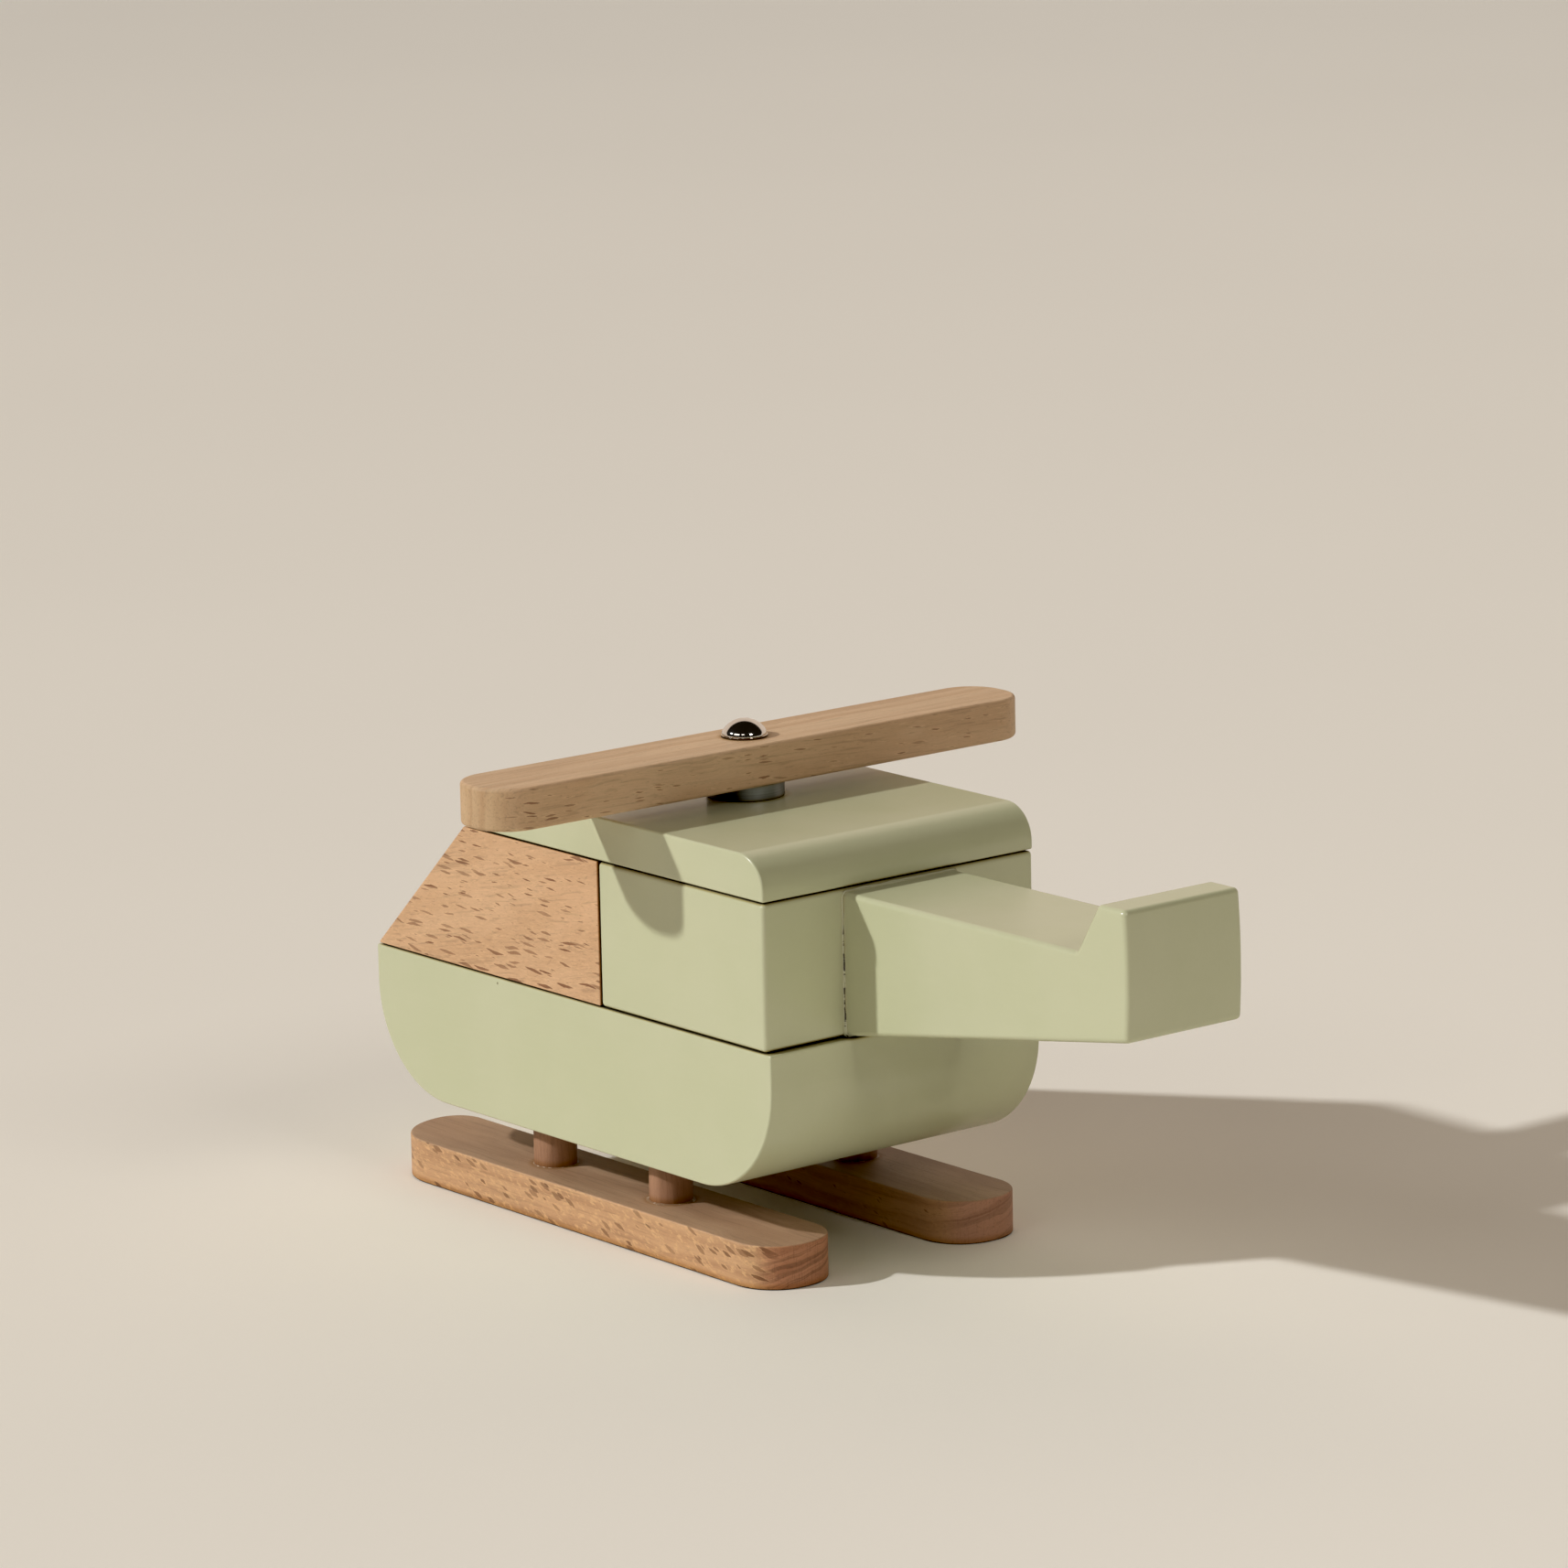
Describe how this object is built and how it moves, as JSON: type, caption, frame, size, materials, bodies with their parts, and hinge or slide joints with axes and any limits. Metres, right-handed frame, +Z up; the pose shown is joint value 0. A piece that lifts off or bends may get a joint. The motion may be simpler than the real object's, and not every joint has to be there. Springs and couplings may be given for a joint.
{
  "type": "toy helicopter",
  "caption": "Wooden take-apart toy helicopter: magnetic body blocks, a tail boom with an upswept fin, a turning rotor bar, and skids on dowel struts.",
  "frame": {"origin": "on the ground under the middle of the toy's overall box", "axes": "+X forward to the nose, +Y to port, +Z up"},
  "size_m": [0.1906, 0.1226, 0.0932],
  "materials": {
    "painted_hull": "satin sage paint on beech",
    "painted_middle": "satin sage paint on beech",
    "painted_tail": "satin sage paint on beech",
    "painted_roof": "satin sage paint on beech",
    "beech_window": "oiled natural beech",
    "beech_skid": "oiled natural beech",
    "beech_strut": "natural beech dowel",
    "beech_rotor": "oiled natural beech",
    "plug_wood": "sanded beech plug",
    "magnet_nickel": "nickel-plated magnet",
    "spacer_steel": "turned steel",
    "axle_steel": "bright steel",
    "cap_chrome": "polished chrome"
  },
  "bodies": {
    "hull": {"hull_block": "painted_hull", "hull_magnets": "magnet_nickel", "hull_plugs": "plug_wood", "skid_port": "beech_skid", "skid_starboard": "beech_skid", "strut_front_port": "beech_strut", "strut_rear_port": "beech_strut", "strut_front_starboard": "beech_strut", "strut_rear_starboard": "beech_strut"},
    "middle": {"middle_block": "painted_middle", "middle_magnets": "magnet_nickel", "middle_plugs": "plug_wood", "tail_boom": "painted_tail", "tail_dowels": "beech_strut"},
    "window": {"window_block": "beech_window", "window_magnets": "magnet_nickel", "window_plugs": "plug_wood"},
    "roof": {"roof_block": "painted_roof", "roof_magnets": "magnet_nickel", "roof_plugs": "plug_wood", "rotor_spacer": "spacer_steel", "rotor_axle": "axle_steel", "rotor_cap": "cap_chrome", "cap_grip": "axle_steel"},
    "rotor": {"rotor_blade": "beech_rotor"}
  },
  "joints": [
    {"name": "middle_lift", "type": "slide", "parent": "hull", "child": "middle", "axis": [0, 0, 1], "range_m": [0, 0.06]},
    {"name": "roof_lift", "type": "slide", "parent": "middle", "child": "roof", "axis": [0, 0, 1], "range_m": [0, 0.04]},
    {"name": "window_slide", "type": "slide", "parent": "hull", "child": "window", "axis": [1, 0, 0], "range_m": [0, 0.085]},
    {"name": "rotor_spin", "type": "hinge", "parent": "roof", "child": "rotor", "pos_m": [0.02244, 0, 0.0861], "axis": [0, 0, 1], "continuous": true}
  ]
}
